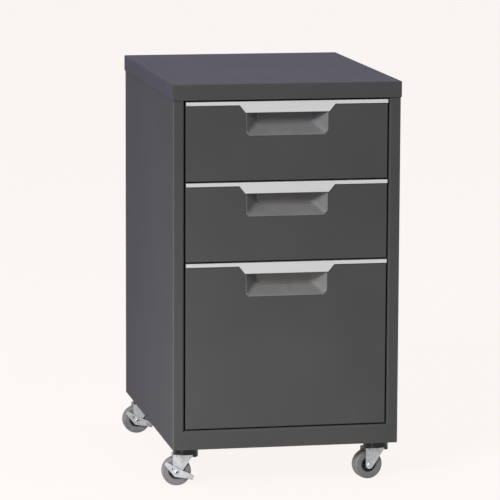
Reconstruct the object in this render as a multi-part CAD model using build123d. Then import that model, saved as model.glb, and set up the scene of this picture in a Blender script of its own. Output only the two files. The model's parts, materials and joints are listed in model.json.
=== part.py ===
from build123d import *
import os

# Filing cabinet on casters: two shallow drawers over one deep drawer for hanging files.
# Millimetres. +X is the cabinet's right side seen from its front, -Y the front, +Z up.
# The origin is on the floor, under the middle of the cabinet.

# Overall size
width = 402.5
depth = 533.0
height = 707.0
ride_height = 70.0  # floor to the underside of the steel body

# Folded sheet steel
sheet = 1.2
bend = 2.0  # outer radius of an ordinary fold
fit = 0.3  # between pieces that are slipped together

# Top cap, a shallow lid that overhangs the body all round
cap_height = 28.0

# Front frame
stile_width = 16.3  # flat face of a side panel beside the drawers
stile_bend = 3.5  # soft inner edge of the front frame
return_depth = 16.0  # how far the frame folds back into the cabinet
return_lip = 8.0
rail_height = 33.5
rear_flange = 22.0
pan_rim = 20.0  # upturned edge of the base

# Drawers, counted from the top
drawer_names = ("top", "middle", "file")
shallow_front_height = 137.3
drawer_gap = 2.5  # between two drawer fronts
front_gap_top = 3.0
front_gap_side = 2.9
front_recess = 1.0  # drawer face behind the frame's face
front_depth = 27.0
front_edge = 1.4  # soft edge of a drawer front
front_lip = 17.0  # folded inwards behind it, where the drawer box is fixed

# Full-width aluminium pull with a tab in its middle
pull_thickness = 2.0
pull_strip = 7.3
pull_top_leaf = 13.0
pull_edge = 0.5
tab_drop = 12.0  # below the strip
tab_width_top = 168.0
tab_width_bottom = 147.0

# Finger pocket under the tab
pocket_width = 142.0
pocket_back_width = 99.0
pocket_depth = 23.0
pocket_top = 10.5  # all three heights are counted down from the top of the pull
pocket_bottom = 58.5
pocket_back_bottom = 39.8
pocket_corner = 6.0
pocket_wall = 1.5
pocket_flange = 7.0

# Drawer boxes
tray_length = 470.0
tray_rise = 12.0  # above the lower edge of the drawer front
tray_drop = 27.3  # below the upper edge of the drawer front
tray_hem = 8.0
file_rail_spacing = 308.0
file_rail_height = 13.0
file_rail_thickness = 2.5
file_rail_drop = 4.0

# Telescopic slides: an outer, a middle and an inner channel
slide_length = 450.0
slide_height = 45.0
slide_thickness = 12.7
slide_setback = 2.0  # behind the drawer front
slide_rise = 48.0  # centre above the bottom of the drawer box
channel = 1.2
channel_bend = 1.6
channel_lip = 10.0
ball_gap = 0.6  # between one channel's flange and the next
web_gap = 0.8

# Uprights that carry the slides
post_width = 30.0
post_setback = 3.0  # behind the fold of the front frame
rear_post_inset = 55.0
post_slot_width = 5.0
post_slot_height = 14.0
post_slot_pitch = 64.0

# Casters
caster_end_inset = 43.0  # swivel axis from the front or back of the cabinet
caster_side_inset = 31.0  # swivel axis from the side of the cabinet
trail = 16.5
wheel_diameter = 51.0
wheel_width = 21.0
tyre_bore = 27.0
tyre_bevel = 2.0
hub_width = 18.0
hub_boss = 12.0
hub_boss_stand_out = 1.2  # beyond the side of the tyre
axle_diameter = 6.0
running = 0.08  # round an axle or a kingpin
crown_neck = 30.0
crown_neck_height = 2.5
crown_diameter = 44.0
crown_height = 11.2
fork_gap = 0.3
fork_sheet = 1.8
fork_diameter = 43.0
fork_side_gap = 0.3  # wheel boss to fork leg
fork_skirt = 4.5
fork_bend = 1.0
leg_end_radius = 7.0
leg_top = 4.0
leg_front = 10.5  # front end of a leg's top, from the swivel axis
kingpin_diameter = 8.0
kingpin_head = 14.0
kingpin_head_height = 2.4
rivet_head = 9.0
rivet_head_height = 1.6

# Threaded stems that hold the casters, in the base and the plates that stiffen it
stem_diameter = 10.0
stem_clearance = 0.25
stem_end = 2.0  # stands out above the nut
nut_across = 17.0
nut_height = 8.0
stiffener = 80.0
stiffener_thickness = 2.0
stiffener_corner = 12.0

# Brake lever, a stamped strip across the face of a wheel; points are from the wheel's centre
lever_gap = 0.3
lever_sheet = 1.8
lever_tip = (-18.0, 14.5)
lever_knee = (-1.5, -3.5)
lever_heel = (18.0, -6.5)
lever_tip_radius = 3.3
lever_width = 10.0
lever_eye = 13.0
pedal_length = 13.5
pedal_depth = 9.5
pedal_tilt = 10.0  # downwards along the lever
pedal_pitch = 60.0  # downwards away from the wheel
pedal_turn = 20.0  # in its own plane, towards the floor
lever_hole = 3.6
lever_hole_place = (-7.0, 6.2)
pedal_corner = 3.0

# Where each caster stands, how far it is turned on its axis, and whether it has a brake
casters = (
    ("front_left", -1, -1, -4.0, True),
    ("front_right", 1, -1, 10.0, False),
    ("rear_left", -1, 1, 1.0, True),
    ("rear_right", 1, 1, 176.0, False),
)

# Places that follow from the sizes above
cap_front = -depth / 2
body_front = cap_front + sheet + fit
body_back = -body_front
body_half = width / 2 - sheet - fit
inner_half = body_half - sheet
body_bottom = ride_height
pan_half = inner_half - fit
pan_front = body_front + sheet + fit
pan_back = body_back - 2 * (sheet + fit)  # inside the back panel and the rear flanges
body_top = height - sheet - fit
cap_bottom = height - cap_height
rail_top = body_bottom + rail_height
frame_half = body_half - stile_width  # where the flat of a stile ends
opening_half = frame_half - stile_bend
front_half = opening_half - front_gap_side
face_y = body_front + front_recess
front_back_y = face_y + front_depth
slide_face = opening_half - fit  # face of the uprights
tray_half = slide_face - slide_thickness
tray_back_y = front_back_y + tray_length
slide_front_y = front_back_y + slide_setback
slide_back_y = slide_front_y + slide_length
caster_x = width / 2 - caster_side_inset
caster_y = depth / 2 - caster_end_inset
wheel_radius = wheel_diameter / 2
axle_drop = ride_height - wheel_radius  # axle below the underside of the body
crown_bottom = crown_neck_height + crown_height
fork_top = crown_bottom + fork_gap
boss_half = wheel_width / 2 + hub_boss_stand_out
nut_low = sheet + stiffener_thickness  # above the underside of the body
stem_top = nut_low + nut_height + stem_end
leg_inner = boss_half + fork_side_gap
leg_outer = leg_inner + fork_sheet
lever_inner = leg_outer + lever_gap
lever_outer = lever_inner + lever_sheet


# Each drawer's name with the top and the bottom of its front
def drawer_heights():
    heights = []
    top = cap_bottom - front_gap_top
    for name in drawer_names[:-1]:
        heights.append((name, top, top - shallow_front_height))
        top -= shallow_front_height + drawer_gap
    heights.append((drawer_names[-1], top, rail_top + drawer_gap))
    return heights


# A block between two corners
def block(x0, x1, y0, y1, z0, z1):
    return Pos((x0 + x1) / 2, (y0 + y1) / 2, (z0 + z1) / 2) * Box(x1 - x0, y1 - y0, z1 - z0)


# Flat outlines drawn in one plane and drawn out along the third axis
def along_x(outline, x0, x1):
    return extrude(Plane.YZ.offset(x0) * outline, amount=x1 - x0)


def along_y(outline, y0, y1):
    return extrude(Plane.XZ.offset(-y1) * outline, amount=y1 - y0)


def along_z(outline, z0, z1):
    return extrude(Plane.XY.offset(z0) * outline, amount=z1 - z0)


# The section of a folded sheet, from the line of its outer face
def folded(points, radii, thickness, side):
    path = FilletPolyline(*points, radius=radii)
    return make_face(offset(path, amount=thickness, side=side, closed=True).edges())


def mirrored(piece):
    return mirror(piece, about=Plane.YZ)


def pair(piece):
    return Compound(children=[piece, mirrored(piece)])


def group(pieces):
    return Compound(children=list(pieces))


# Top cap
def top_cap():
    outer = block(-width / 2, width / 2, cap_front, -cap_front, cap_bottom, height)
    soft = outer.edges().filter_by(Axis.Z) + outer.faces().sort_by(Axis.Z)[-1].edges()
    outer = fillet(soft, bend)
    return offset(outer, amount=-sheet, openings=outer.faces().sort_by(Axis.Z)[0])


# Side panel folded round into the front stile and the rear flange
def side_panel():
    flange_y = body_back - sheet - fit
    points = [
        (opening_half, body_front + return_depth),
        (opening_half, body_front),
        (body_half, body_front),
        (body_half, flange_y),
        (body_half - rear_flange, flange_y),
    ]
    section = folded(points, [stile_bend, bend, bend], sheet, Side.LEFT)
    panel = along_z(section, body_bottom, body_top)
    # The inner fold is notched where the cross rails butt against the stiles
    for low, high in ((body_bottom, rail_top), (cap_bottom, body_top)):
        panel -= block(
            opening_half - bend,
            frame_half,
            body_front - bend,
            body_front + return_depth + bend,
            low,
            high,
        )
    return panel


def back_panel():
    half = body_half - bend
    return block(-half, half, body_back - sheet, body_back, body_bottom, body_top)


# Cross rails of the front frame, each folded back into the cabinet
def bottom_rail():
    back = body_front + return_depth
    points = [
        (body_front, body_bottom),
        (body_front, rail_top),
        (back, rail_top),
        (back, rail_top - return_lip),
    ]
    return along_x(folded(points, [stile_bend, bend], sheet, Side.RIGHT), -frame_half, frame_half)


def top_rail():
    back = body_front + return_depth
    points = [
        (body_front, body_top),
        (body_front, cap_bottom),
        (back, cap_bottom),
        (back, cap_bottom + return_lip),
    ]
    return along_x(folded(points, [stile_bend, bend], sheet, Side.LEFT), -frame_half, frame_half)


# Where the casters stand, and the holes for their stems
def caster_centres():
    return [(side * caster_x, end * caster_y) for _, side, end, _, _ in casters]


def stem_holes():
    hole = Pos(0, 0, body_bottom) * Cylinder(stem_diameter / 2 + stem_clearance, 2 * stem_top)
    return [Pos(x, y) * hole for x, y in caster_centres()]


# Base with an upturned rim, folded along its four edges
def base_pan():
    outer = block(-pan_half, pan_half, pan_front, pan_back, body_bottom, body_bottom + pan_rim)
    outer = fillet(outer.faces().sort_by(Axis.Z)[0].edges(), bend)
    pan = offset(outer, amount=-sheet, openings=outer.faces().sort_by(Axis.Z)[-1])
    return pan - stem_holes()


# A plate in each corner of the base, clear of the fold of its rim
def stiffener_plates():
    outline = chamfer(Rectangle(stiffener, stiffener).vertices(), stiffener_corner)
    low = body_bottom + sheet
    plate = along_z(outline, low, low + stiffener_thickness)
    inset = sheet + bend + stiffener / 2
    x = pan_half - inset
    places = [(i * x, y) for i in (-1, 1) for y in (pan_front + inset, pan_back - inset)]
    return group(Pos(x, y) * plate - stem_holes() for x, y in places)


# Uprights inside the side panels, punched with a row of hanging slots
def runner_post(front):
    base = inner_half - fit
    back = front + post_width
    points = [(base, front), (slide_face, front), (slide_face, back), (base, back)]
    low = body_bottom + pan_rim + fit
    high = cap_bottom - fit
    post = along_z(folded(points, bend, sheet, Side.RIGHT), low, high)
    slot = Box(2 * bend + sheet, post_slot_width, post_slot_height)
    count = int((high - low - post_slot_height) // post_slot_pitch)
    first = (low + high - (count - 1) * post_slot_pitch) / 2
    middle = (front + back) / 2
    return post - [Pos(slide_face, middle, first + i * post_slot_pitch) * slot for i in range(count)]


def runner_posts():
    front = body_front + return_depth + post_setback
    rear = body_back - rear_post_inset - post_width
    posts = [runner_post(front), runner_post(rear)]
    return group(posts + [mirrored(post) for post in posts])


# Telescopic slide channels, drawn for the right side of a drawer at height z
def slide_channel(z, web, half_height, tip):
    points = [
        (slide_face - tip, z + half_height),
        (slide_face - web, z + half_height),
        (slide_face - web, z - half_height),
        (slide_face - tip, z - half_height),
    ]
    side = Side.RIGHT if tip > web else Side.LEFT
    return pair(along_y(folded(points, channel_bend, channel, side), slide_front_y, slide_back_y))


def slide_members(z):
    half = slide_height / 2
    middle_half = half - channel - ball_gap
    inner_channel_half = middle_half - channel - ball_gap
    middle_web = channel + web_gap
    outer = slide_channel(z, 0, half, channel_lip)
    middle = slide_channel(z, middle_web, middle_half, channel_lip)
    inner = slide_channel(z, slide_thickness, inner_channel_half, middle_web + channel + web_gap)
    return outer, middle, inner


# Mouth of the finger pocket, with its lower corners cut off, grown by a wall or a clearance
def pocket_mouth(top, grow, y0, y1):
    half = pocket_width / 2 + grow
    high = top - pocket_top + grow
    low = top - pocket_bottom - grow
    outline = Polygon(
        (-half, high),
        (-half, low + pocket_corner),
        (-half + pocket_corner, low),
        (half - pocket_corner, low),
        (half, low + pocket_corner),
        (half, high),
        align=None,
    )
    return along_y(outline, y0, y1)


# Body of the pocket: its sides close in and its floor rises towards the back
def pocket_body(top, grow, back_y):
    half = pocket_width / 2 + grow
    back_half = pocket_back_width / 2 + grow
    high = top - pocket_top + grow
    low = top - pocket_bottom - grow
    back_low = top - pocket_back_bottom - grow
    corners = [(-half, face_y), (half, face_y), (back_half, back_y), (-back_half, back_y)]
    plan = Polygon(*corners, align=None)
    side = Polygon((face_y, low), (back_y, back_low), (back_y, high), (face_y, high), align=None)
    cup = along_z(plan, low, high) & along_x(side, -half, half)
    ends = cup.faces().sort_by(Axis.Y)
    long_edges = cup.edges() - ends[0].edges() - ends[-1].edges()
    return chamfer(long_edges.sort_by(Axis.Z)[:2], pocket_corner)


# Moulded pocket: tapered cup with a flange behind the drawer's face
def pocket(top):
    back_y = face_y + pocket_depth
    cup = pocket_body(top, pocket_wall, back_y + pocket_wall)
    seat = face_y + sheet + fit / 3
    flange = pocket_mouth(top, pocket_wall + pocket_flange, seat, seat + pocket_wall)
    ceiling = top - pull_thickness - sheet - fit
    room = block(-front_half, front_half, seat, back_y, top - 2 * pocket_bottom, ceiling)
    return cup + (flange & room) - pocket_body(top, 0, back_y)


# Drawer front, a pan folded back on all four sides
def drawer_front(top, bottom):
    outer = block(-front_half, front_half, face_y, front_back_y, bottom, top - pull_thickness)
    outer = fillet(outer.faces().sort_by(Axis.Y)[0].edges(), front_edge)
    pan = offset(outer, amount=-sheet, openings=outer.faces().sort_by(Axis.Y)[-1])
    high = top - pull_thickness
    lips = block(-front_half, front_half, front_back_y - sheet, front_back_y, bottom, high)
    inside = front_half - front_lip
    lips -= block(-inside, inside, face_y, front_back_y, bottom + front_lip, high - front_lip)
    return pan + lips - pocket_mouth(top, pocket_wall + fit, face_y, face_y + sheet)


# Aluminium pull over the top edge of a drawer front
def pull(top):
    strip_low = top - pull_strip
    tab_low = strip_low - tab_drop
    outline = Polygon(
        (-front_half, top),
        (-front_half, strip_low),
        (-tab_width_top / 2, strip_low),
        (-tab_width_bottom / 2, tab_low),
        (tab_width_bottom / 2, tab_low),
        (tab_width_top / 2, strip_low),
        (front_half, strip_low),
        (front_half, top),
        align=None,
    )
    front_y = face_y - pull_thickness
    leaf_back = face_y + pull_top_leaf
    face = along_y(outline, front_y, face_y)
    leaf = block(-front_half, front_half, front_y, leaf_back, top - pull_thickness, top)
    profile = face + leaf
    return fillet(profile.faces().sort_by(Axis.Y)[0].edges(), pull_edge)


# Drawer box: floor and sides folded from one sheet, with hemmed top edges
def tray(bottom, top):
    points = [
        (tray_half - tray_hem, top),
        (tray_half, top),
        (tray_half, bottom),
        (-tray_half, bottom),
        (-tray_half, top),
        (-tray_half + tray_hem, top),
    ]
    return along_y(folded(points, bend, sheet, Side.RIGHT), front_back_y + fit, tray_back_y)


def tray_ends(bottom, top):
    half = tray_half - sheet - fit
    low = bottom + sheet + fit
    high = top - sheet - fit
    ends = []
    for y, inward in ((front_back_y + fit, 1), (tray_back_y, -1)):
        points = [(y, low), (y, high), (y + inward * tray_hem, high)]
        side = Side.RIGHT if inward > 0 else Side.LEFT
        ends.append(along_x(folded(points, bend, sheet, side), -half, half))
    return group(ends)


# Bars that hanging files hook over, held between the ends of the file drawer's box
def file_rails(tray_top):
    top = tray_top - sheet - fit - file_rail_drop
    inner = (file_rail_spacing - file_rail_thickness) / 2
    outer = inner + file_rail_thickness
    front = front_back_y + fit + sheet + fit
    back = tray_back_y - sheet - fit
    bar = block(inner, outer, front, back, top - file_rail_height, top)
    upper_edges = bar.faces().sort_by(Axis.Z)[-1].edges().filter_by(Axis.Y)
    return pair(fillet(upper_edges, file_rail_thickness / 3))


# Each caster is drawn round its swivel axis, with z = 0 at the underside of the body
# and the wheel trailing towards -X, then turned and moved to its place
def placed(piece, side, end, turn):
    return Pos(side * caster_x, end * caster_y, body_bottom) * Rot(0, 0, turn) * piece


def turned_along_axle(outline):
    return revolve(Plane.YZ * outline, Axis.Y)


def at_axle(piece):
    return Pos(-trail, 0, -axle_drop) * piece


# Round housing of the swivel bearing
def swivel_crown():
    bore = kingpin_diameter / 2 + fit
    neck = crown_neck / 2
    rim = crown_diameter / 2
    outline = Polygon(
        (bore, 0),
        (neck, 0),
        (neck, -crown_neck_height),
        (rim, -crown_neck_height),
        (rim, -crown_bottom),
        (bore, -crown_bottom),
        align=None,
    )
    return revolve(Plane.XZ * outline, Axis.Z)


# Threaded stem above, kingpin below, riveted over under the yoke
def caster_stem():
    stem = stem_diameter / 2
    pin = kingpin_diameter / 2
    head = kingpin_head / 2
    pin_low = -(fork_top + fork_sheet + fork_gap)
    outline = Polygon(
        (0, stem_top),
        (stem, stem_top),
        (stem, 0),
        (pin, 0),
        (pin, pin_low),
        (head, pin_low),
        (head, pin_low - kingpin_head_height),
        (0, pin_low - kingpin_head_height),
        align=None,
    )
    return revolve(Plane.XZ * outline, Axis.Z)


def stem_nut():
    hexagon = RegularPolygon(nut_across / 2, 6, major_radius=False)
    ring = hexagon - Circle(stem_diameter / 2 + running)
    return along_z(ring, nut_low, nut_low + nut_height)


# Pressed yoke: top plate, two skirts and two tapered legs
def fork():
    disc = Circle(fork_diameter / 2) & Rectangle(fork_diameter, 2 * leg_outer)
    top_plate = along_z(disc, -fork_top - fork_sheet, -fork_top)
    inside = Circle(fork_diameter / 2 - fork_sheet)
    skirts = along_z(disc - inside, -fork_top - fork_skirt, -fork_top)
    end = Pos(-trail, -axle_drop) * Circle(leg_end_radius)
    left = -trail - leg_end_radius
    middle = (leg_front + left) / 2
    shoulder = Pos(middle, -fork_top - leg_top / 2) * Rectangle(leg_front - left, leg_top)
    leg_outline = make_hull(end.edges() + shoulder.edges())
    leg = along_y(leg_outline, leg_inner, leg_outer)
    yoke = top_plate + skirts + leg + mirror(leg, about=Plane.XZ)
    folds = [
        edge
        for edge in yoke.edges().filter_by(Axis.X)
        if abs(abs(edge.center().Y) - leg_outer) < 0.01 and abs(edge.center().Z + fork_top) < 0.01
    ]
    yoke = fillet(folds, fork_bend)
    yoke -= Cylinder(kingpin_diameter / 2 + running, 2 * ride_height)
    return yoke - at_axle(Rot(90, 0, 0) * Cylinder(axle_diameter / 2, wheel_diameter))


# Riveted axle; on a braked caster its near head lies outside the lever
def axle(braked):
    near = -(lever_outer if braked else leg_outer)
    far = leg_outer
    shaft = axle_diameter / 2
    head = rivet_head / 2
    outline = Polygon(
        (near - rivet_head_height, 0),
        (near - rivet_head_height, head),
        (near, head),
        (near, shaft),
        (far, shaft),
        (far, head),
        (far + rivet_head_height, head),
        (far + rivet_head_height, 0),
        align=None,
    )
    return at_axle(turned_along_axle(outline))


# Moulded hub with a boss on each side that runs on the axle
def hub():
    bore = axle_diameter / 2 + running
    boss = hub_boss / 2
    rim = tyre_bore / 2
    half = hub_width / 2
    outline = Polygon(
        (-boss_half, bore),
        (-boss_half, boss),
        (-half, boss),
        (-half, rim),
        (half, rim),
        (half, boss),
        (boss_half, boss),
        (boss_half, bore),
        align=None,
    )
    return at_axle(turned_along_axle(outline))


# Tyre with bevelled shoulders
def tyre():
    half = wheel_width / 2
    bore = tyre_bore / 2
    outline = Polygon(
        (-half, bore),
        (-half, wheel_radius - tyre_bevel),
        (-half + tyre_bevel, wheel_radius),
        (half - tyre_bevel, wheel_radius),
        (half, wheel_radius - tyre_bevel),
        (half, bore),
        align=None,
    )
    return at_axle(turned_along_axle(outline))


# Stamped brake lever with an eye round the axle and a pedal bent outwards
def brake_lever():
    radius = lever_width / 2
    tip = Pos(*lever_tip) * Circle(lever_tip_radius)
    knee = Pos(*lever_knee) * Circle(radius)
    heel = Pos(*lever_heel) * Circle(radius)
    eye = Circle(lever_eye / 2)
    arm = make_hull(tip.edges() + eye.edges() + knee.edges())
    foot = make_hull(eye.edges() + knee.edges() + heel.edges())
    strip = along_y(arm + foot, -lever_outer, -lever_inner)
    pedal = fillet(Rectangle(pedal_length, pedal_depth).vertices(), pedal_corner)
    pedal = Pos(pedal_length / 2, -pedal_depth / 2) * extrude(pedal, -lever_sheet)
    heel_x, heel_z = lever_heel
    pedal = Pos(heel_x, -lever_inner, heel_z + radius) * Rot(pedal_pitch, pedal_tilt, -pedal_turn) * pedal
    lever = strip + pedal
    lever -= Rot(90, 0, 0) * Cylinder(axle_diameter / 2 + running, wheel_diameter)
    hole_x, hole_z = lever_hole_place
    lever -= Pos(hole_x, 0, hole_z) * Rot(90, 0, 0) * Cylinder(lever_hole / 2, wheel_diameter)
    return at_axle(lever)


def cabinet_nodes():
    right = side_panel()
    nodes = {
        "top_cap": top_cap(),
        "side_panel_right": right,
        "side_panel_left": mirrored(right),
        "back_panel": back_panel(),
        "bottom_rail": bottom_rail(),
        "top_rail": top_rail(),
        "base_pan": base_pan(),
        "caster_stiffeners": stiffener_plates(),
        "runner_posts": runner_posts(),
    }
    holders = {"swivel_crowns": swivel_crown(), "caster_stems": caster_stem(), "stem_nuts": stem_nut()}
    for name, piece in holders.items():
        nodes[name] = group(Pos(x, y, body_bottom) * piece for x, y in caster_centres())
    return nodes


def drawer_nodes():
    nodes = {}
    for name, top, bottom in drawer_heights():
        floor = bottom + tray_rise
        tray_top = top - tray_drop
        outer, middle, inner = slide_members(floor + slide_rise)
        nodes[f"front_{name}"] = drawer_front(top, bottom)
        nodes[f"pull_{name}"] = pull(top)
        nodes[f"pocket_{name}"] = pocket(top)
        nodes[f"tray_{name}"] = tray(floor, tray_top)
        nodes[f"tray_ends_{name}"] = tray_ends(floor, tray_top)
        nodes[f"slide_outer_{name}"] = outer
        nodes[f"slide_middle_{name}"] = middle
        nodes[f"slide_inner_{name}"] = inner
    nodes["file_rails"] = file_rails(tray_top)
    return nodes


def caster_nodes():
    nodes = {}
    yoke, centre, ring, lever = fork(), hub(), tyre(), brake_lever()
    for name, side, end, turn, braked in casters:
        nodes[f"fork_{name}"] = placed(yoke, side, end, turn)
        nodes[f"axle_{name}"] = placed(axle(braked), side, end, turn)
        nodes[f"hub_{name}"] = placed(centre, side, end, turn)
        nodes[f"tyre_{name}"] = placed(ring, side, end, turn)
        if braked:
            nodes[f"brake_lever_{name}"] = placed(lever, side, end, turn)
    return nodes


def main():
    os.makedirs("parts", exist_ok=True)
    nodes = {**cabinet_nodes(), **drawer_nodes(), **caster_nodes()}
    for name, piece in nodes.items():
        export_step(piece, f"parts/{name}.step")
    print(len(nodes), "nodes")


main()
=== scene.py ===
import json
from math import asin, atan2, cos, pi, radians, sin

import bmesh
import bpy
from mathutils import Matrix, Vector

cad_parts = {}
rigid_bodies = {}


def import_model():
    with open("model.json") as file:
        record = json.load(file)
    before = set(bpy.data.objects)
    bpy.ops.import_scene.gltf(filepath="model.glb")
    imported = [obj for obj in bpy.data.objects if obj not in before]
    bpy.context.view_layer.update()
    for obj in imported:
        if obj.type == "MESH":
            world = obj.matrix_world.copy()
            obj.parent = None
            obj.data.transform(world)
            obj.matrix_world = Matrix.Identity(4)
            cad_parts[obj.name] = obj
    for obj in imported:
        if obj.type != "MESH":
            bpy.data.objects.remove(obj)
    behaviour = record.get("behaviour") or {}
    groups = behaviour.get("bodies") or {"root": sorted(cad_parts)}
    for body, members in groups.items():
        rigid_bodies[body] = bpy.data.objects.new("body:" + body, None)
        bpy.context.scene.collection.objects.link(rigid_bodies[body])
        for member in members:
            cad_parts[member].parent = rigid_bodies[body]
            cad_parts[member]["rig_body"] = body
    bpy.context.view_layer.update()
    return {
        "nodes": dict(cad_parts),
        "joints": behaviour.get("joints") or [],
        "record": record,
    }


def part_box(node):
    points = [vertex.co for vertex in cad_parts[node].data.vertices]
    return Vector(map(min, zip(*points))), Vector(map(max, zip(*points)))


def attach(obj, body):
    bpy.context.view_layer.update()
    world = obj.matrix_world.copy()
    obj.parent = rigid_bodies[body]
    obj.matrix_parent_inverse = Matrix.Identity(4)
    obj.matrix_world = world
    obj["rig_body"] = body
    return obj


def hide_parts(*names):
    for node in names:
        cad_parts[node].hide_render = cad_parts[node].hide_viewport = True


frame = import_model()

drawers = ("top", "middle", "file")
casters = ("front_left", "front_right", "rear_left", "rear_right")
braked = ("front_left", "rear_left")
joints = {joint["name"]: joint for joint in frame["joints"]}
slots = {part["node"]: part["material_slot"] for part in frame["record"]["subparts"]}
millimetre = 0.001


# Colours
def shown(red, green, blue):
    """A colour given as it shows on a screen, 0 to 255"""

    def linear(level):
        share = level / 255
        return share / 12.92 if share <= 0.04045 else ((share + 0.055) / 1.055) ** 2.4

    return (linear(red), linear(green), linear(blue), 1.0)


def scaled(colour, share):
    return (colour[0] * share, colour[1] * share, colour[2] * share, 1.0)


# Parts of the materials
noise_low = 0.3  # most of a noise's values lie from here
noise_high = 0.7  # to here


def new_finish(name, roughness, metallic=0.0, specular=0.5):
    made = bpy.data.materials.new(name)
    made.use_nodes = True
    shader = made.node_tree.nodes["Principled BSDF"]
    shader.inputs["Roughness"].default_value = roughness
    shader.inputs["Metallic"].default_value = metallic
    shader.inputs["Specular IOR Level"].default_value = specular
    place = made.node_tree.nodes.new("ShaderNodeTexCoord").outputs["Object"]
    return made, made.node_tree, shader, place


def stretched(tree, place, scale):
    node = tree.nodes.new("ShaderNodeMapping")
    node.inputs["Scale"].default_value = scale
    tree.links.new(place, node.inputs["Vector"])
    return node.outputs["Vector"]


def noise(tree, place, scale, detail=2.0, roughness=0.5):
    node = tree.nodes.new("ShaderNodeTexNoise")
    node.inputs["Scale"].default_value = scale
    node.inputs["Detail"].default_value = detail
    node.inputs["Roughness"].default_value = roughness
    tree.links.new(place, node.inputs["Vector"])
    return node.outputs[0]


def cells(tree, place, scale):
    """Small cells, each with a value of its own"""
    node = tree.nodes.new("ShaderNodeTexVoronoi")
    node.inputs["Scale"].default_value = scale
    tree.links.new(place, node.inputs["Vector"])
    return node.outputs["Color"]


def toned(tree, value, dark, light, low=noise_low, high=noise_high):
    """Runs from the dark colour to the light one while the value goes from low to high"""
    node = tree.nodes.new("ShaderNodeValToRGB")
    for stop, position, colour in zip(node.color_ramp.elements, (low, high), (dark, light)):
        stop.position = position
        stop.color = colour
    tree.links.new(value, node.inputs["Fac"])
    return node.outputs["Color"]


def clouded(tree, value, colour, dark, light):
    """The colour, between a darker and a lighter share of itself"""
    return toned(tree, value, scaled(colour, dark), scaled(colour, light))


def mixed(tree, factor, tone, colour):
    node = tree.nodes.new("ShaderNodeMix")
    node.data_type = "RGBA"
    tone_input, colour_input, mixed_output = node.inputs[6], node.inputs[7], node.outputs[2]
    tree.links.new(factor, node.inputs["Factor"])
    tree.links.new(tone, tone_input)
    colour_input.default_value = colour
    return mixed_output


def mapped(tree, value, start, end, low=0.0, high=1.0):
    """Goes from low to high while the value goes from start to end"""
    node = tree.nodes.new("ShaderNodeMapRange")
    node.inputs["From Min"].default_value = start
    node.inputs["From Max"].default_value = end
    node.inputs["To Min"].default_value = low
    node.inputs["To Max"].default_value = high
    tree.links.new(value, node.inputs["Value"])
    return node.outputs["Result"]


def worked_out(tree, operation, first, second=None):
    """A sum on sockets, or on a number and a socket"""
    node = tree.nodes.new("ShaderNodeMath")
    node.operation = operation
    for value, socket in zip((first, second), node.inputs):
        if isinstance(value, float):
            socket.default_value = value
        elif value is not None:
            tree.links.new(value, socket)
    return node.outputs[0]


def covered(tree, shader, tone, value, low, high):
    """Gives the shader its tone, and a roughness that goes from low to high with the value"""
    tree.links.new(tone, shader.inputs["Base Color"])
    roughness = mapped(tree, value, noise_low, noise_high, low, high)
    tree.links.new(roughness, shader.inputs["Roughness"])


def raised(tree, shader, height, strength, depth):
    """A fine relief, its depth in millimetres"""
    node = tree.nodes.new("ShaderNodeBump")
    node.inputs["Strength"].default_value = strength
    node.inputs["Distance"].default_value = depth * millimetre
    tree.links.new(height, node.inputs["Height"])
    tree.links.new(node.outputs["Normal"], shader.inputs["Normal"])


# Finishes
# Sheen tint of the paints: a painted reflection, blue to stand in for bluish light reflected at a low angle
reflected_sky_blue = shown(125, 118, 255)
# Painted highlight along the front corner folds: its width, its fade and how much lighter the paint is
# drawn there
fold_highlight_width = 1.6 * millimetre
fold_highlight_fade = 0.6 * millimetre
fold_highlight_lightness = 1.5
zinc_blue = (0.21, 0.19, 0.15)  # how far the bluish clouds fall below the zinc's red, green and blue
zinc_spread = 0.06


def painted_fold_highlight(tree, place, half_width, front):
    """1 on the two upright folds between the sides and the front frame, where the paint is drawn lighter: a
    painted highlight of the bend catching the light
    """
    apart = tree.nodes.new("ShaderNodeSeparateXYZ")
    tree.links.new(place, apart.inputs[0])
    inward = worked_out(tree, "SUBTRACT", half_width, worked_out(tree, "ABSOLUTE", apart.outputs["X"]))
    near_side = mapped(tree, inward, fold_highlight_width + fold_highlight_fade, fold_highlight_width)
    near_front = mapped(tree, apart.outputs["Y"], front + fold_highlight_width + fold_highlight_fade, front + fold_highlight_width)
    return worked_out(tree, "MULTIPLY", near_side, near_front)


def powder_coat(name, colour, roughness, specular, blue_sheen_reflection=0.0, fold_highlight=None):
    """Sprayed paint with fine orange peel; its sheen is a painted reflection, tinted blue to stand in for
    bluish light reflected at a low angle
    """
    made, tree, shader, place = new_finish(name, roughness, specular=specular)
    # Blue sheen: painted reflection of bluish light
    shader.inputs["Sheen Weight"].default_value = blue_sheen_reflection
    shader.inputs["Sheen Roughness"].default_value = 0.5
    shader.inputs["Sheen Tint"].default_value = reflected_sky_blue
    tone = clouded(tree, noise(tree, place, scale=7.0, detail=3.0), colour, dark=0.95, light=1.05)
    # Painted highlight: lighter paint along the front corner folds, where the bend would catch the light
    if fold_highlight:
        tone = mixed(tree, painted_fold_highlight(tree, place, *fold_highlight), tone, scaled(colour, fold_highlight_lightness))
    peel = noise(tree, place, scale=900.0, detail=3.0, roughness=0.55)
    covered(tree, shader, tone, peel, roughness - 0.04, roughness + 0.05)
    raised(tree, shader, peel, strength=0.18, depth=0.08)
    return made


def satin_aluminium(name, colour):
    """Aluminium with a fine grain along the pull"""
    made, tree, shader, place = new_finish(name, 0.4, metallic=0.85)
    grain = noise(tree, stretched(tree, place, (18.0, 2600.0, 2600.0)), scale=1.0, detail=3.0)
    tone = clouded(tree, grain, colour, dark=0.95, light=1.04)
    covered(tree, shader, tone, grain, low=0.36, high=0.46)
    raised(tree, shader, grain, strength=0.12, depth=0.03)
    return made


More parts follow.
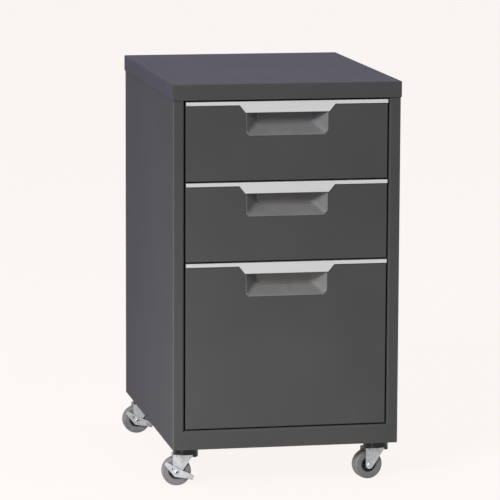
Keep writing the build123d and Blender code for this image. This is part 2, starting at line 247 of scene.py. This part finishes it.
def zinc_plate(name, colour, roughness, cloudiness=1.0):
    """Blue-passivated zinc, clouded from pale to bluish over a few millimetres"""
    made, tree, shader, place = new_finish(name, roughness, metallic=0.9)
    spread = zinc_spread * cloudiness
    bluish = tuple(level * (1.0 - depth * cloudiness) for level, depth in zip(colour, zinc_blue)) + (1.0,)
    cloud = noise(tree, place, scale=110.0, detail=4.0, roughness=0.6)
    tone = toned(tree, cloud, bluish, scaled(colour, 1.0 + spread), low=0.36, high=0.62)
    covered(tree, shader, tone, cloud, roughness + spread, roughness - spread)
    raised(tree, shader, noise(tree, place, scale=1500.0), strength=0.15, depth=0.05)
    return made


def spangled_zinc(name, colour):
    """Hot-dipped zinc with small crystals"""
    made, tree, shader, place = new_finish(name, 0.45, metallic=0.8)
    spangle = cells(tree, place, scale=110.0)
    tone = toned(tree, spangle, scaled(colour, 0.8), scaled(colour, 1.1), low=0.1, high=0.9)
    covered(tree, shader, tone, spangle, low=0.38, high=0.52)
    raised(tree, shader, noise(tree, place, scale=1100.0), strength=0.1, depth=0.04)
    return made


def moulded_plastic(name, colour, roughness, grain_scale, specular=0.5):
    made, tree, shader, place = new_finish(name, roughness, specular=specular)
    cloud = noise(tree, place, scale=40.0)
    tone = clouded(tree, cloud, colour, dark=0.92, light=1.08)
    covered(tree, shader, tone, cloud, roughness - 0.05, roughness + 0.05)
    raised(tree, shader, cells(tree, place, grain_scale), strength=0.25, depth=0.06)
    return made


def tyre_rubber(name, colour):
    """Dusty rubber with a fine speck"""
    made, tree, shader, place = new_finish(name, 0.62, specular=0.35)
    dust = noise(tree, place, scale=60.0, detail=3.0)
    speck = noise(tree, place, scale=900.0, detail=4.0, roughness=0.7)
    tone = clouded(tree, dust, colour, dark=0.88, light=1.1)
    covered(tree, shader, tone, speck, low=0.55, high=0.72)
    raised(tree, shader, speck, strength=0.3, depth=0.1)
    return made


coat_roughness = 0.66
coat_specular = 0.035
charcoal = shown(70, 70, 69)
drawer_charcoal = shown(71, 71, 70)
# The side panels' half width and front, where the painted fold highlight goes
side_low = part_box("side_panel_left")[0]
side_fold_highlight = (-side_low.x, side_low.y)
body_paint = powder_coat("charcoal_powder_coat", charcoal, coat_roughness, coat_specular, 0.021, side_fold_highlight)
# The body's paint again with a stronger blue sheen: a painted reflection for the top, which catches more
# bluish light
cap_paint_stronger_reflection = powder_coat("charcoal_coat_top_reflection", charcoal, coat_roughness, coat_specular, 0.05)
drawer_paint = powder_coat("charcoal_drawer_coat", drawer_charcoal, coat_roughness, coat_specular, 0.026)
box_paint = powder_coat("charcoal_drawer_box_coat", shown(66, 66, 67), 0.68, 0.18)
pull_metal = satin_aluminium("satin_aluminium", shown(201, 204, 206))
slide_metal = zinc_plate("slide_zinc_plate", shown(196, 198, 202), 0.34, cloudiness=0.4)
caster_metal = zinc_plate("caster_zinc_plate", shown(184, 187, 188), 0.6)
stem_metal = zinc_plate("bright_stem_zinc", shown(186, 187, 189), 0.52, cloudiness=0.5)
galvanised = spangled_zinc("galvanised_steel", shown(176, 180, 184))
rail_metal = powder_coat("black_rail_coat", shown(48, 48, 50), 0.42, 0.4)
pocket_plastic = moulded_plastic("charcoal_moulded_pocket", shown(101, 101, 100), 0.6, 2200.0, specular=0.3)
crown_plastic = moulded_plastic("black_swivel_housing", shown(18, 18, 20), 0.28, 1500.0, specular=0.3)
hub_plastic = moulded_plastic("black_hub_plastic", shown(24, 24, 25), 0.45, 1800.0)
rubber = tyre_rubber("grey_tyre_rubber", shown(111, 111, 112))

finishes = {
    "body_paint": body_paint,
    "drawer_paint": drawer_paint,
    "drawer_box_paint": box_paint,
    "pull_aluminium": pull_metal,
    "pocket_plastic": pocket_plastic,
    "slide_zinc": slide_metal,
    "galvanised_steel": galvanised,
    "file_rail_steel": rail_metal,
    "caster_black": crown_plastic,
    "fastener_zinc": stem_metal,
    "caster_zinc": caster_metal,
    "hub_plastic": hub_plastic,
    "tyre_rubber": rubber,
}


# Pieces
weld_gap = 0.002 * millimetre
flat_angle = radians(0.2)
sharp_angle = radians(35.0)


def added(name, data):
    """A new object in the scene"""
    piece = bpy.data.objects.new(name, data)
    bpy.context.scene.collection.objects.link(piece)
    return piece


def mesh_of(work, name):
    """The worked shape as a mesh"""
    mesh = bpy.data.meshes.new(name)
    work.to_mesh(mesh)
    work.free()
    return mesh


def joined(name, meshes):
    """The meshes as one"""
    work = bmesh.new()
    for mesh in meshes:
        work.from_mesh(mesh)
        bpy.data.meshes.remove(mesh)
    return mesh_of(work, name)


def evaluated(piece):
    """Works the piece's modifiers into its mesh, and returns the mesh"""
    bpy.context.view_layer.update()
    graph = bpy.context.evaluated_depsgraph_get()
    mesh = bpy.data.meshes.new_from_object(piece.evaluated_get(graph))
    piece.modifiers.clear()
    old = piece.data
    piece.data = mesh
    bpy.data.meshes.remove(old)
    return mesh


def joined_mesh(node):
    """The node's surface as one joined mesh, its flat faces whole again"""
    work = bmesh.new()
    work.from_mesh(frame["nodes"][node].data)
    bmesh.ops.remove_doubles(work, verts=work.verts, dist=weld_gap)
    bmesh.ops.dissolve_limit(work, angle_limit=flat_angle, verts=work.verts, edges=work.edges)
    return mesh_of(work, node)


def shaded(mesh):
    """Shades bends smooth and keeps folds sharp"""
    mesh.polygons.foreach_set("use_smooth", [True] * len(mesh.polygons))
    mesh.set_sharp_from_angle(angle=sharp_angle)


def softened(piece, soft_edge):
    """Rounds the raw edges by some tenths of a millimetre, and keeps flats flat beside them"""
    shaded(piece.data)
    if soft_edge:
        bevel = piece.modifiers.new("soft edge", "BEVEL")
        bevel.width = soft_edge * millimetre
        bevel.segments = 2
        bevel.limit_method = "ANGLE"
        bevel.angle_limit = sharp_angle
        bevel.harden_normals = False
    weighted = piece.modifiers.new("flat faces", "WEIGHTED_NORMAL")
    weighted.keep_sharp = True
    weighted.weight = 100
    evaluated(piece)


def settled(piece, material, body, stands_for=None):
    """Gives the piece its finish and its body, and hides the CAD node that it stands for"""
    piece.data.materials.clear()
    piece.data.materials.append(material)
    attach(piece, body)
    if stands_for:
        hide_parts(stands_for)


def new_piece(name, mesh, body, slot, stands_for=None):
    shaded(mesh)
    settled(added(name, mesh), finishes[slot], body, stands_for)


# Pulls: their strips, in millimetres, are drawn a little slimmer beside the tab than the CAD has them
strip_height = 7.3
strip_trim = 0.9
strip_edge = 0.5  # the round along the strip's lower edge
strip_slack = 0.1


def slimmed(mesh, top):
    """Raises the lower edge of a pull's strip on both sides of its tab"""
    low = top - strip_height * millimetre
    for vertex in mesh.vertices:
        if low - strip_slack * millimetre < vertex.co.z < low + (strip_edge + strip_slack) * millimetre:
            vertex.co.z += strip_trim * millimetre


def dressed(node, soft_edge):
    """The CAD node's own form with softened edges"""
    slot = slots[node]
    piece = added(node + "_finished", joined_mesh(node))
    if slot == "pull_aluminium":
        slimmed(piece.data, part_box(node)[1].z)
    softened(piece, soft_edge)
    # The top cap gets the copy of the body paint with the stronger painted reflection
    material = cap_paint_stronger_reflection if node == "top_cap" else finishes[slot]
    settled(piece, material, frame["nodes"][node]["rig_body"], node)


# Shapes that are turned or skinned, in millimetres
axis_gap = 0.0001


def mirrored(side):
    """The far side of an outline of (radius, height), from its outer end inwards"""
    return [(radius, -height) for radius, height in reversed(side)]


def curved(corners, steps=4):
    """An outline from corners of (radius, height, reach), each one a curve that starts its reach away"""
    outline = []
    for i, (radius, height, reach) in enumerate(corners):
        point = Vector((radius, height))
        before = (Vector(corners[i - 1][:2]) - point).normalized()
        after = (Vector(corners[(i + 1) % len(corners)][:2]) - point).normalized()
        for step in range(steps + 1):
            share = step / steps
            a = point + before * reach * (1 - share)
            b = point + after * reach * share
            outline.append(tuple(a.lerp(b, share)))
    return outline


def bridged(work, a, b):
    """Faces from one ring of points to the next"""
    for i in range(len(a)):
        j = (i + 1) % len(a)
        work.faces.new((a[i], a[j], b[j], b[i]))


def turned(outline, segments):
    """A closed outline of (radius, height) turned about Z, its points on the axis merged to one"""
    work = bmesh.new()
    rings = []
    for step in range(segments):
        turn = 2 * pi * step / segments
        points = [(radius * cos(turn), radius * sin(turn), height) for radius, height in outline]
        rings.append([work.verts.new(point) for point in points])
    for a, b in zip(rings, rings[1:] + rings[:1]):
        bridged(work, a, b)
    bmesh.ops.remove_doubles(work, verts=work.verts, dist=axis_gap)
    bmesh.ops.recalc_face_normals(work, faces=work.faces)
    return work


def skinned(work, rings):
    """A closed skin over the rings, from the first one to the last"""
    for a, b in zip(rings, rings[1:]):
        bridged(work, a, b)
    work.faces.new(rings[0])
    work.faces.new(list(reversed(rings[-1])))


def made_piece(name, work, place, body, slot, stands_for=None):
    """A piece from a worked shape, put in its place"""
    mesh = mesh_of(work, name)
    mesh.transform(place)
    new_piece(name, mesh, body, slot, stands_for)


# Shapes that repeat, by Geometry Nodes
def new_tree(name, inputs):
    tree = bpy.data.node_groups.new(name, "GeometryNodeTree")
    tree.interface.new_socket(name="Geometry", in_out="OUTPUT", socket_type="NodeSocketGeometry")
    for label, kind in inputs.items():
        tree.interface.new_socket(name=label, in_out="INPUT", socket_type=f"NodeSocket{kind}")
    return tree, tree.nodes.new("NodeGroupInput").outputs


def tree_end(tree, instances, finish):
    real = tree.nodes.new("GeometryNodeRealizeInstances")
    material = tree.nodes.new("GeometryNodeSetMaterial")
    out = tree.nodes.new("NodeGroupOutput")
    tree.links.new(instances, real.inputs[0])
    tree.links.new(real.outputs[0], material.inputs["Geometry"])
    tree.links.new(finish, material.inputs["Material"])
    tree.links.new(material.outputs[0], out.inputs[0])


def grown(name, tree, sizes):
    """A plain mesh of what the tree makes with these sizes"""
    maker = added(name, bpy.data.meshes.new(name))
    nodes = maker.modifiers.new(tree.name, "NODES")
    nodes.node_group = tree
    for item in tree.interface.items_tree:
        if item.in_out == "INPUT":
            nodes[item.identifier] = sizes[item.name]
    mesh = evaluated(maker)
    bpy.data.objects.remove(maker)
    return mesh


def rib_tree():
    """Ribs in a ring round Z, each with its length along the radius"""
    kinds = {"Count": "Int", "Middle": "Float", "Size": "Vector", "Material": "Material"}
    tree, given = new_tree("hub_ribs", kinds)
    ring = tree.nodes.new("GeometryNodeMeshCircle")
    rib = tree.nodes.new("GeometryNodeMeshCube")
    spot = tree.nodes.new("GeometryNodeInputPosition")
    turn = tree.nodes.new("FunctionNodeAlignRotationToVector")
    put = tree.nodes.new("GeometryNodeInstanceOnPoints")
    turn.axis = "X"
    tree.links.new(given["Count"], ring.inputs["Vertices"])
    tree.links.new(given["Middle"], ring.inputs["Radius"])
    tree.links.new(given["Size"], rib.inputs["Size"])
    tree.links.new(spot.outputs[0], turn.inputs["Vector"])
    tree.links.new(ring.outputs[0], put.inputs["Points"])
    tree.links.new(rib.outputs[0], put.inputs["Instance"])
    tree.links.new(turn.outputs[0], put.inputs["Rotation"])
    tree_end(tree, put.outputs[0], given["Material"])
    return tree


def head_row_tree():
    """A row of heads, each a ball of radius 1 scaled to its size"""
    kinds = {"Count": "Int", "Start": "Vector", "Step": "Vector", "Size": "Vector", "Material": "Material"}
    tree, given = new_tree("row_of_heads", kinds)
    line = tree.nodes.new("GeometryNodeMeshLine")
    head = tree.nodes.new("GeometryNodeMeshUVSphere")
    put = tree.nodes.new("GeometryNodeInstanceOnPoints")
    head.inputs["Segments"].default_value = 20
    head.inputs["Rings"].default_value = 10
    tree.links.new(given["Count"], line.inputs["Count"])
    tree.links.new(given["Start"], line.inputs["Start Location"])
    tree.links.new(given["Step"], line.inputs["Offset"])
    tree.links.new(line.outputs[0], put.inputs["Points"])
    tree.links.new(head.outputs[0], put.inputs["Instance"])
    tree.links.new(given["Size"], put.inputs["Scale"])
    tree_end(tree, put.outputs[0], given["Material"])
    return tree


# Casters, in millimetres in the caster's own frame: Z is the swivel axis, and 0 the body's underside
trail = 16.5
axle_drop = 44.5
crown_drop = 13.7
fork_drop = 14.0
leg_front = 10.9
leg_outer = 13.8
lever_outer = 15.9


def caster_place(name):
    axis = joints[f"wheel_{name}_spin"]["axis"]
    place = Matrix.Translation(joints[f"caster_{name}_swivel"]["pos_m"])
    return place @ Matrix.Rotation(atan2(-axis[0], axis[1]), 4, "Z") @ Matrix.Scale(millimetre, 4)


def wheel_place(name):
    """The wheel's centre, with Z along the axle towards the near side"""
    centre = Matrix.Translation((-trail, 0.0, -axle_drop))
    return caster_place(name) @ centre @ Matrix.Rotation(pi / 2, 4, "X")


# Wheels: outlines of (radius, height over the wheel's middle plane)
rim_edge = (13.5, 9.0)
hub_bore = 3.08
side_groove = [(20.6, 10.3), (20.9, 9.9), (21.3, 9.9), (21.6, 10.3)]
tread_line = [(25.2, 0.25), (25.2, -0.25)]
tyre_side = [rim_edge, (14.6, 10.3)] + side_groove + [(22.6, 10.2), (23.9, 9.8), (24.7, 9.1)]
tyre_side += [(25.2, 8.2), (25.42, 7.0), (25.5, 4.0), (25.5, 0.5)]
hub_side = [(hub_bore, 11.7), (5.6, 11.7), (6.0, 11.3), (6.4, 4.0)]
hub_side += [(11.2, 4.0), (11.6, 8.6), (12.0, 9.0), rim_edge]
tyre_outline = tyre_side + tread_line + mirrored(tyre_side)
hub_outline = hub_side + mirrored(hub_side)
rib_sizes = {"Count": 8, "Middle": 8.9, "Size": (5.6, 1.4, 15.0), "Material": hub_plastic}

ribs = rib_tree()
for name in casters:
    body = f"wheel_{name}"
    place = wheel_place(name)
    tyre = turned(tyre_outline, segments=96)
    made_piece(f"tyre_{name}_moulded", tyre, place, body, "tyre_rubber", f"tyre_{name}")
    ring = mesh_of(turned(hub_outline, segments=72), "hub")
    hub = joined("hub", [ring, grown("ribs", ribs, rib_sizes)])
    hub.transform(place)
    new_piece(f"hub_{name}_moulded", hub, body, "hub_plastic", f"hub_{name}")


# Dust skirts
skirt_drop = 18.7
skirt_bevel = 0.2
skirt_inside = (13.84, 21.55)  # half width across the legs, and radius round the swivel
skirt_outside = (14.3, 21.98)


def skirt_path(half_width, radius, steps=14):
    """Along the edge of the yoke's top at one end"""
    half_angle = asin(half_width / radius)
    turns = [half_angle * (2 * step / steps - 1) for step in range(steps + 1)]
    return [(radius * cos(turn), radius * sin(turn)) for turn in turns]


def front_path(half_width, radius):
    """The same, carried on along both legs"""
    return [(leg_front, -half_width)] + skirt_path(half_width, radius) + [(leg_front, half_width)]


def rear_path(half_width, radius):
    return [(-x, y) for x, y in skirt_path(half_width, radius)]


def dust_skirt():
    """Black lip round both ends of the yoke's top, from one leg to the other"""
    work = bmesh.new()
    for path in (front_path, rear_path):
        rings = []
        for (xi, yi), (xo, yo) in zip(path(*skirt_inside), path(*skirt_outside)):
            corners = [(xi, yi, -fork_drop), (xo, yo, -fork_drop), (xo, yo, -skirt_drop + skirt_bevel)]
            corners += [((xi + xo) / 2, (yi + yo) / 2, -skirt_drop), (xi, yi, -skirt_drop)]
            rings.append([work.verts.new(corner) for corner in corners])
        skinned(work, rings)
    bmesh.ops.recalc_face_normals(work, faces=work.faces)
    return work


# Riveted axles: heads as (radius, height over the face that they sit on)
axle_radius = 3.0
hollow_head = [(0.0, -6.0), (1.8, -6.0), (2.0, 1.0), (2.4, 1.5), (3.4, 1.3), (4.2, 0.7), (4.5, 0.0)]
domed_head = [(0.0, 1.6), (1.6, 1.5), (3.0, 1.15), (4.1, 0.6), (4.5, 0.0)]
lever_play = 0.03  # so that a lever turns free of the rivet's head


def rivet_end(face, head):
    """One end of an axle, from its middle out to the face that it is riveted against"""
    return [(radius, face + height) for radius, height in head] + [(axle_radius, face)]


for name in casters:
    body = f"caster_{name}"
    near_end = rivet_end(leg_outer, domed_head)
    far_end = rivet_end(leg_outer, hollow_head)
    if name in braked:
        near_end = rivet_end(lever_outer + lever_play, hollow_head)
        far_end = rivet_end(leg_outer, domed_head)
    axle = turned(near_end + mirrored(far_end), segments=40)
    made_piece(f"axle_{name}_riveted", axle, wheel_place(name), body, "fastener_zinc", f"axle_{name}")
    made_piece(f"dust_skirt_{name}", dust_skirt(), caster_place(name), body, "caster_black")


# Swivel crowns, one piece on the cabinet: a neck under the base, and the housing with a fine groove
crown_bore = 5.3
neck_radius = 14.9
neck_drop = 2.5
crown_radius = 22.0
groove_radius = 21.7
crown_corners = [
    (crown_bore, 0.0, 0.2),
    (neck_radius, 0.0, 0.6),
    (neck_radius, -neck_drop, 0.3),
    (crown_radius, -neck_drop, 1.4),
    (crown_radius, -9.0, 0.2),
    (groove_radius, -9.3, 0.15),
    (groove_radius, -9.9, 0.15),
    (crown_radius, -10.2, 0.2),
    (crown_radius, -crown_drop, 0.7),
    (crown_bore, -crown_drop, 0.2),
]

crowns = []
for name in casters:
    crown = mesh_of(turned(curved(crown_corners), segments=96), "crown")
    crown.transform(caster_place(name))
    crowns.append(crown)
new_piece("swivel_crowns_moulded", joined("crowns", crowns), "cabinet", "caster_black", "swivel_crowns")


# Brake levers, with the bead along their lower edge: its arch is in shares of its half width and rise
lever_soft_edge = 0.35
bead_path = [(-17.6, 12.2), (-4.4, -4.6), (-1.2, -6.3), (16.5, -9.4)]
bead_arch = [(-1.0, 0.0), (-0.8, 0.6), (-0.35, 0.93), (0.0, 1.0), (0.35, 0.93), (0.8, 0.6), (1.0, 0.0)]
bead_half_width = 1.2
bead_rise = 0.6
bead_sink = 0.05
bead_tip = 0.35  # both ends taper to this share


def bead():
    """The rounded ridge pressed along the lever's lower edge"""
    work = bmesh.new()
    base = lever_outer - bead_sink
    points = [Vector(point) for point in bead_path]
    last = len(points) - 1
    rings = []
    for i, point in enumerate(points):
        ahead = (points[min(i + 1, last)] - points[max(i - 1, 0)]).normalized()
        across = Vector((-ahead.y, ahead.x))
        taper = bead_tip if i in (0, last) else 1.0
        ring = []
        for side, rise in bead_arch:
            spot = point + across * side * bead_half_width * taper
            ring.append(work.verts.new((spot.x, spot.y, base + rise * bead_rise * taper)))
        rings.append(ring)
    skinned(work, rings)
    bmesh.ops.recalc_face_normals(work, faces=work.faces)
    return work


for name in braked:
    body = f"brake_{name}"
    lever = added(f"brake_lever_{name}_stamped", joined_mesh(f"brake_lever_{name}"))
    softened(lever, lever_soft_edge)
    settled(lever, caster_metal, body, f"brake_lever_{name}")
    made_piece(f"brake_bead_{name}", bead(), wheel_place(name), body, "caster_zinc")


# Rivets of the slides and weld marks on the back
rivet_inset = 11.5 * millimetre  # from the edge of the inner channel's flanges in to the middle of a head
rivet_height = 1.2 * millimetre
rivet_radius = 3.6 * millimetre
rivets_in_row = 5
weld_inset = 9.0 * millimetre
weld_height = 0.2 * millimetre
weld_radius = 2.8 * millimetre
welds_in_row = 9
row_margin = 30.0 * millimetre  # from a row's first and last head to the ends of its piece

head_rows = head_row_tree()


def head_row(count, start, step, size, material):
    sizes = {"Count": count, "Start": start, "Step": step, "Size": size, "Material": material}
    return grown("heads", head_rows, sizes)


for name in drawers:
    low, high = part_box(f"slide_inner_{name}")
    step = (0.0, (high.y - low.y - 2 * row_margin) / (rivets_in_row - 1), 0.0)
    size = (rivet_height, rivet_radius, rivet_radius)
    rows = []
    for side in (-1, 1):
        start = (side * (high.x - rivet_inset), low.y + row_margin, (low.z + high.z) / 2)
        rows.append(head_row(rivets_in_row, start, step, size, stem_metal))
    new_piece(f"slide_rivets_{name}", joined("rivets", rows), f"drawer_{name}", "fastener_zinc")

low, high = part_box("back_panel")
step = (0.0, 0.0, (high.z - low.z - 2 * row_margin) / (welds_in_row - 1))
size = (weld_radius, weld_height, weld_radius)
rows = []
for x in (low.x + weld_inset, high.x - weld_inset):
    start = (x, high.y, low.z + row_margin)
    rows.append(head_row(welds_in_row, start, step, size, body_paint))
new_piece("back_weld_marks", joined("marks", rows), "cabinet", "body_paint")


# The other pieces keep their form; soft edges in millimetres, by the start of their name
made_above = ("tyre_", "hub_", "axle_", "swivel_crowns", "brake_lever_")
soft_edges = {
    "top_cap": 0.3,
    "side_panel": 0.3,
    "front": 0.3,
    "bottom_rail": 0.3,
    "pull": 0.4,
    "tray": 0.2,
    "pocket": 0.8,
    "fork": 0.4,
    "stem_nuts": 0.4,
    "caster_stems": 0.5,
}
for node in sorted(frame["nodes"]):
    if not node.startswith(made_above):
        dressed(node, next((edge for start, edge in soft_edges.items() if node.startswith(start)), 0.0))


# Floor, lights and camera
pale = shown(250, 245, 242)
floor_share = 0.45  # of the pale colour, as the lamps light the floor
glow_share = 0.88  # of plain pale glow, in what the camera sees of the floor
glow_level = 1.11
fill_level = 0.34
fill_colour = (0.97, 0.97, 1.0, 1.0)
lamp_colour = (0.96, 0.94, 1.0)
low_lamp_colour = (1.0, 1.0, 0.95)
middle = (0.0, 0.0, 0.35)
low_corner = (-0.2, -0.25, 0.05)


def seen_rays(tree):
    """1 for what the camera sees straight, in a gloss or through glass"""
    path = tree.nodes.new("ShaderNodeLightPath")
    seen = path.outputs["Is Camera Ray"]
    for ray in ("Is Glossy Ray", "Is Transmission Ray"):
        seen = worked_out(tree, "MAXIMUM", seen, path.outputs[ray])
    return seen


def blended(tree, share, plain, glowing, end):
    """Ends the tree in a mix of a plain shader and a glowing one"""
    mix = tree.nodes.new("ShaderNodeMixShader")
    tree.links.new(share, mix.inputs[0])
    tree.links.new(plain.outputs[0], mix.inputs[1])
    tree.links.new(glowing.outputs[0], mix.inputs[2])
    tree.links.new(mix.outputs[0], tree.nodes[end].inputs["Surface"])


def stage_floor():
    work = bmesh.new()
    bmesh.ops.create_grid(work, x_segments=1, y_segments=1, size=30.0)
    floor = added("floor", mesh_of(work, "floor"))
    made = bpy.data.materials.new("pale_floor")
    made.use_nodes = True
    tree = made.node_tree
    shader = tree.nodes["Principled BSDF"]
    shader.inputs["Base Color"].default_value = scaled(pale, floor_share)
    shader.inputs["Roughness"].default_value = 0.9
    shader.inputs["Specular IOR Level"].default_value = 0.0
    glow = tree.nodes.new("ShaderNodeEmission")
    glow.inputs["Color"].default_value = pale
    glow.inputs["Strength"].default_value = glow_level
    share = worked_out(tree, "MULTIPLY", seen_rays(tree), glow_share)
    blended(tree, share, shader, glow, "Material Output")
    floor.data.materials.append(made)


def studio_world():
    world = bpy.data.worlds.new("studio")
    bpy.context.scene.world = world
    world.use_nodes = True
    tree = world.node_tree
    soft = tree.nodes["Background"]
    soft.inputs["Color"].default_value = fill_colour
    soft.inputs["Strength"].default_value = fill_level
    backdrop = tree.nodes.new("ShaderNodeBackground")
    backdrop.inputs["Color"].default_value = pale
    backdrop.inputs["Strength"].default_value = 1.0
    blended(tree, seen_rays(tree), soft, backdrop, "World Output")


def hung(name, data, place, aim, power, colour):
    """Hangs a lamp at its place, turned towards what it lights"""
    data.energy = power
    data.color = colour
    lamp = added(name, data)
    lamp.location = place
    lamp.rotation_euler = (Vector(aim) - Vector(place)).to_track_quat("-Z", "Y").to_euler()


def soft_lamp(name, place, aim, size, power, colour):
    data = bpy.data.lights.new(name, "AREA")
    data.shape = "SQUARE"
    data.size = size
    hung(name, data, place, aim, power, colour)


def spot_lamp(name, place, aim, angle, power, colour):
    data = bpy.data.lights.new(name, "SPOT")
    data.spot_size = radians(angle)
    data.spot_blend = 1.0
    data.shadow_soft_size = 0.3
    hung(name, data, place, aim, power, colour)


def photo_camera():
    """The camera that was solved from the box's corners in the photograph"""
    data = bpy.data.cameras.new("camera")
    data.sensor_width = 36.0
    data.lens = 236.4
    data.clip_end = 100.0
    place = (-1.1338, -5.7549, 1.2914)
    right = Vector((0.9816824, -0.1904815, 0.0040561))
    up = Vector((0.0254387, 0.1521423, 0.9880312))
    turn = Matrix((right, up, right.cross(up))).transposed()
    camera = added("camera", data)
    camera.matrix_world = Matrix.Translation(place) @ turn.to_4x4()
    bpy.context.scene.camera = camera


stage_floor()
studio_world()
soft_lamp("key", (-2.9, -3.5, 3.2), middle, size=1.4, power=283.0, colour=lamp_colour)
soft_lamp("overhead", (0.0, 0.0, 4.35), middle, size=1.4, power=47.0, colour=lamp_colour)
spot_lamp("low", (-3.1, -3.3, 0.35), low_corner, angle=14.0, power=500.0, colour=low_lamp_colour)
photo_camera()
bpy.context.scene.view_settings.view_transform = "Standard"
